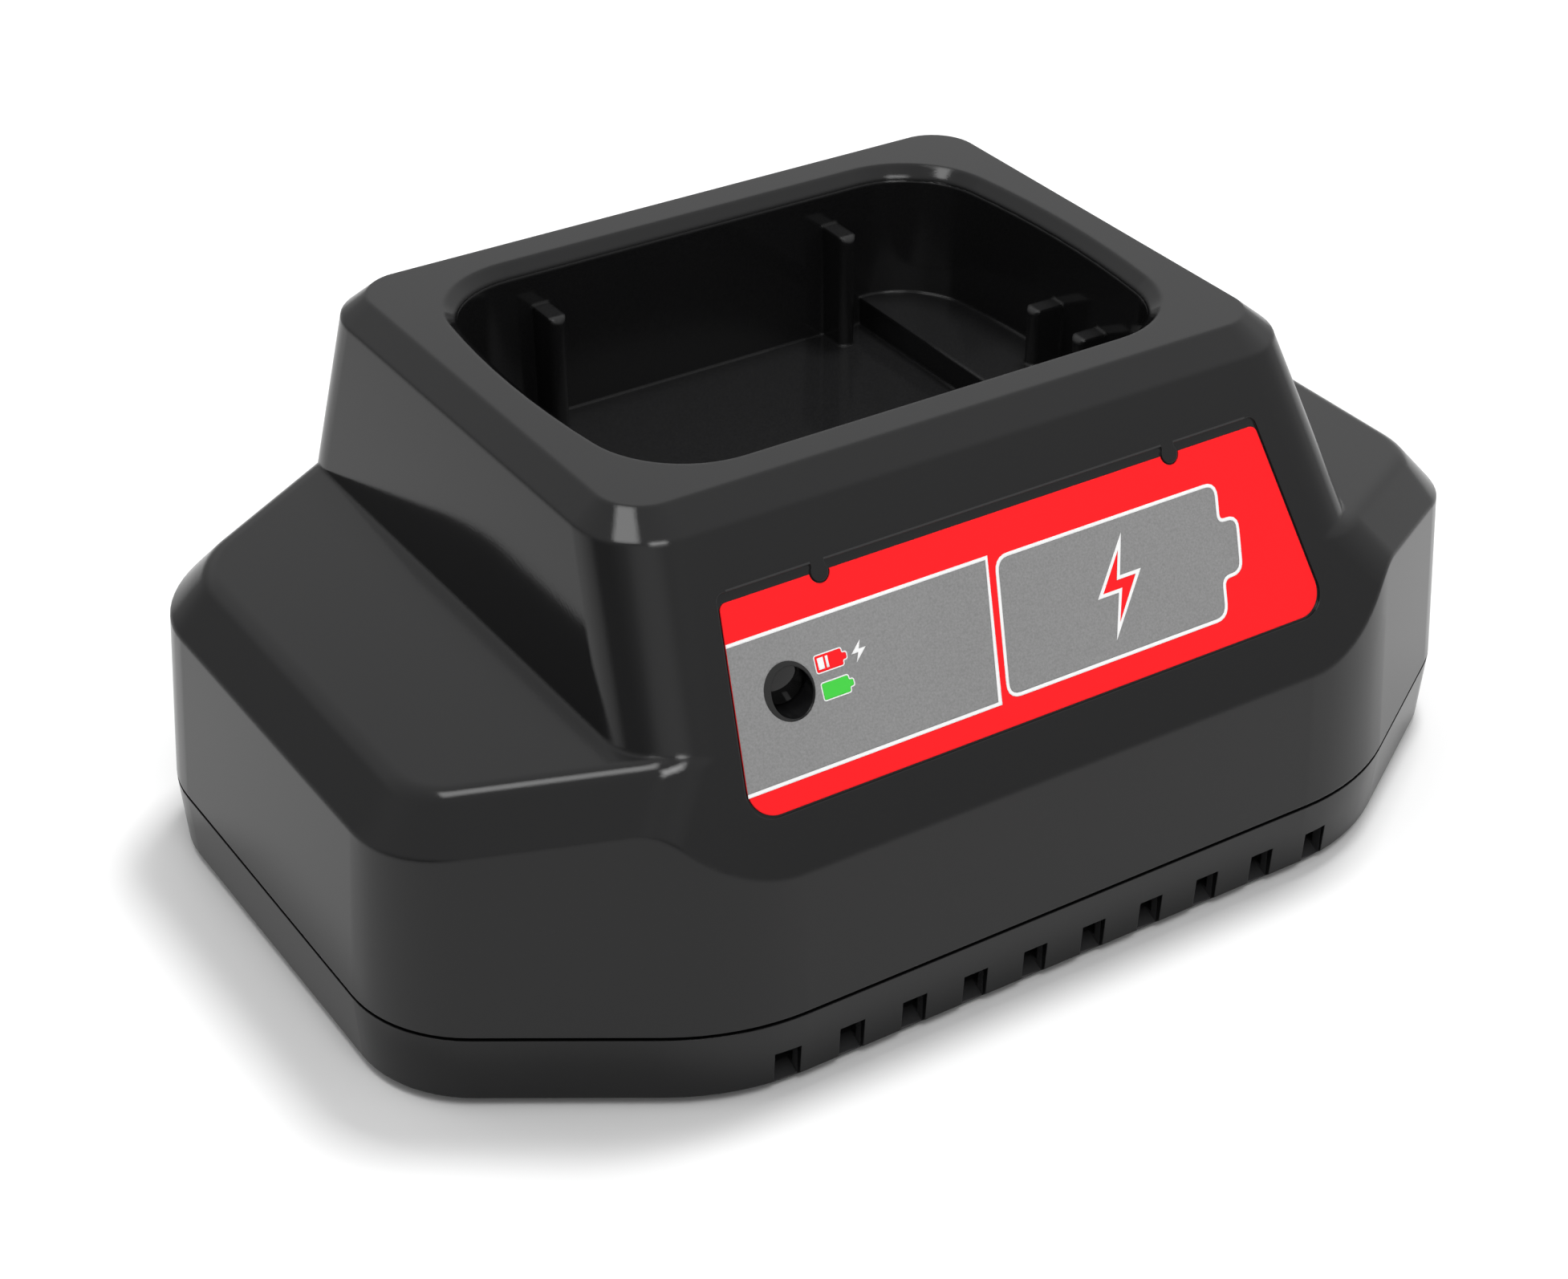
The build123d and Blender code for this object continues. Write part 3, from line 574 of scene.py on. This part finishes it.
# The large sign on the right is a plain battery with a bolt. The two small ones
# beside the light say charging and full.
sign = battery(
    left=-3.0, right=45.2, bottom=5.3, top=28.6, lean=panel_lean, nub=4.2, radius=2.2,
)
sign_bolt = bolt(centre=(20.0, 17.0), height=18.0)
bolt_inside = grown(sign_bolt, -line_width)
printed("sign_battery", [sign, bolt_inside], first_ink, ink_grey)
printed("sign_battery_line", [grown(sign, line_width), sign], line_ink, ink_white)
printed("sign_bolt_line", [sign_bolt, bolt_inside], bolt_ink, ink_white)

small_lean = 0.05


def small_sign(name, bottom, top, ink):
    """A small battery in one ink, with a thin white line round it."""
    outline = battery(-42.9, -37.6, bottom, top, small_lean, nub=0.85, radius=0.35)
    printed(name + "_line", [grown(outline, 0.22), outline], second_ink, ink_white)
    printed(name, [outline], second_ink, ink)


small_sign("sign_charging", 20.25, 23.1, ink_red)
for name, left, right in (("sign_bar_wide", -42.5, -41.3), ("sign_bar_narrow", -40.9, -40.4)):
    bar = slanted(left, right, bottom=20.7, top=22.7, lean=small_lean)
    printed(name, [bar], third_ink, ink_white)
small_bolt = bolt(centre=(-34.35, 21.6), height=3.6, width=1.5)
printed("sign_charging_bolt", [small_bolt], second_ink, ink_white)
small_sign("sign_full", 15.5, 18.35, ink_green)

# Light pipe: a smoke-tinted clear plug behind the label's hole, with the
# indicator diode and its small board behind it.
lens_smoke = grained("lens smoke", (0.006, 0.006, 0.006), 0.04, grain_depth=0.0)
wear(lens_smoke, "light_pipe")
diode_clear = grained("diode clear", (0.6, 0.66, 0.58), 0.08, grain_depth=0.02)
skin_of(diode_clear).inputs["Transmission Weight"].default_value = 0.6
wear(diode_clear, "led")


# Circuit boards: glass-epoxy sheet with copper tracks that show as paler green
# lines through the solder resist. One carries the diode, one the power supply.
def board_material():
    """Solder resist over a grid of tracks."""
    resist, resist_dark, track = (0.01, 0.12, 0.04), (0.008, 0.1, 0.035), (0.03, 0.22, 0.07)
    material = grained("board green", resist, 0.35, grain_depth=0.05)
    tree = material.node_tree
    place = tree.nodes.new("ShaderNodeTexCoord")
    tracks = tree.nodes.new("ShaderNodeTexBrick")
    tracks.inputs["Color1"].default_value = (*resist, 1.0)
    tracks.inputs["Color2"].default_value = (*resist_dark, 1.0)
    tracks.inputs["Mortar"].default_value = (*track, 1.0)
    tracks.inputs["Scale"].default_value = 60.0
    tracks.inputs["Mortar Size"].default_value = 0.04
    tree.links.new(place.outputs["Object"], tracks.inputs["Vector"])
    tree.links.new(tracks.outputs["Color"], tree.nodes["grain"].inputs["Colour"])
    return material


board_green = board_material()
wear(board_green, "led_board", "main_board")

# Transformer, choke and film capacitor: sintered ferrite, polyester tape and
# moulded epoxy. Nothing of the inside shows while the case is closed.
ferrite = grained("ferrite", (0.04, 0.04, 0.043), 0.55, grain_depth=0.3)
wear(ferrite, "transformer_core")
winding_tape = grained("winding tape", (0.7, 0.42, 0.05), 0.4, tone_spread=0.25)
wear(winding_tape, "transformer_winding", "line_choke")
film_yellow = grained("film yellow", (0.8, 0.5, 0.06), 0.45, grain_depth=0.1)
wear(film_yellow, "film_capacitor")

# Capacitor cans in a shrink sleeve, the glass fuse, the heat sinks, and the
# moulded packages of the transistors, chips and header.
can_sleeve = grained("can sleeve", (0.012, 0.03, 0.12), 0.2, grain_depth=0.02)
wear(can_sleeve, "bulk_capacitors", "output_capacitors")
fuse_glass = grained("fuse glass", (0.85, 0.88, 0.88), 0.05, grain_depth=0.0, tone_spread=0.03)
skin_of(fuse_glass).inputs["Transmission Weight"].default_value = 0.9
wear(fuse_glass, "fuse")
sink_metal = metal("sink metal", (0.7, 0.7, 0.71), 0.4, roughness_spread=0.15)
wear(sink_metal, "heat_sinks")
package_black = grained("package black", (0.015, 0.015, 0.015), 0.5, grain_depth=0.2)
wear(package_black, "power_transistors", "control_chips", "output_header")

# Mains inlet: the usual three-pole appliance inlet in moulded black, in its
# pocket at the back, with two screws.
inlet_black = grained("inlet black", (0.008, 0.008, 0.008), 0.4, grain_depth=0.2)
wear(inlet_black, "mains_inlet")

# Wires: stranded copper in PVC sleeves, in the usual colours. They run from the
# inlet, the contacts and the diode's board to the main board.
for colour_name, colour, names in (
    ("wire brown", (0.16, 0.06, 0.025), ("mains_wire_live",)),
    ("wire blue", (0.02, 0.08, 0.42), ("mains_wire_neutral",)),
    ("wire green", (0.05, 0.35, 0.05), ("mains_wire_earth",)),
    ("wire black", (0.015, 0.015, 0.015), ("battery_wire_negative",)),
    ("wire red", (0.55, 0.02, 0.02), ("battery_wire_positive",)),
    ("wire white", (0.75, 0.75, 0.72), ("battery_wire_sense", "led_wires")),
):
    wear(grained(colour_name, colour, 0.4, grain_depth=0.05), *names)

# Screws and nuts: zinc-plated steel, with cross recesses in the screws' heads.
# Self-tapping screws hold the case, well, contacts and boards, and the nuts the inlet.
screw_zinc = metal("screw zinc", (0.62, 0.62, 0.6), 0.3, roughness_spread=0.2)
wear(
    screw_zinc, "case_screws", "well_screws", "contact_screws", "board_screws",
    "led_board_screws", "inlet_screws", "inlet_nuts",
)
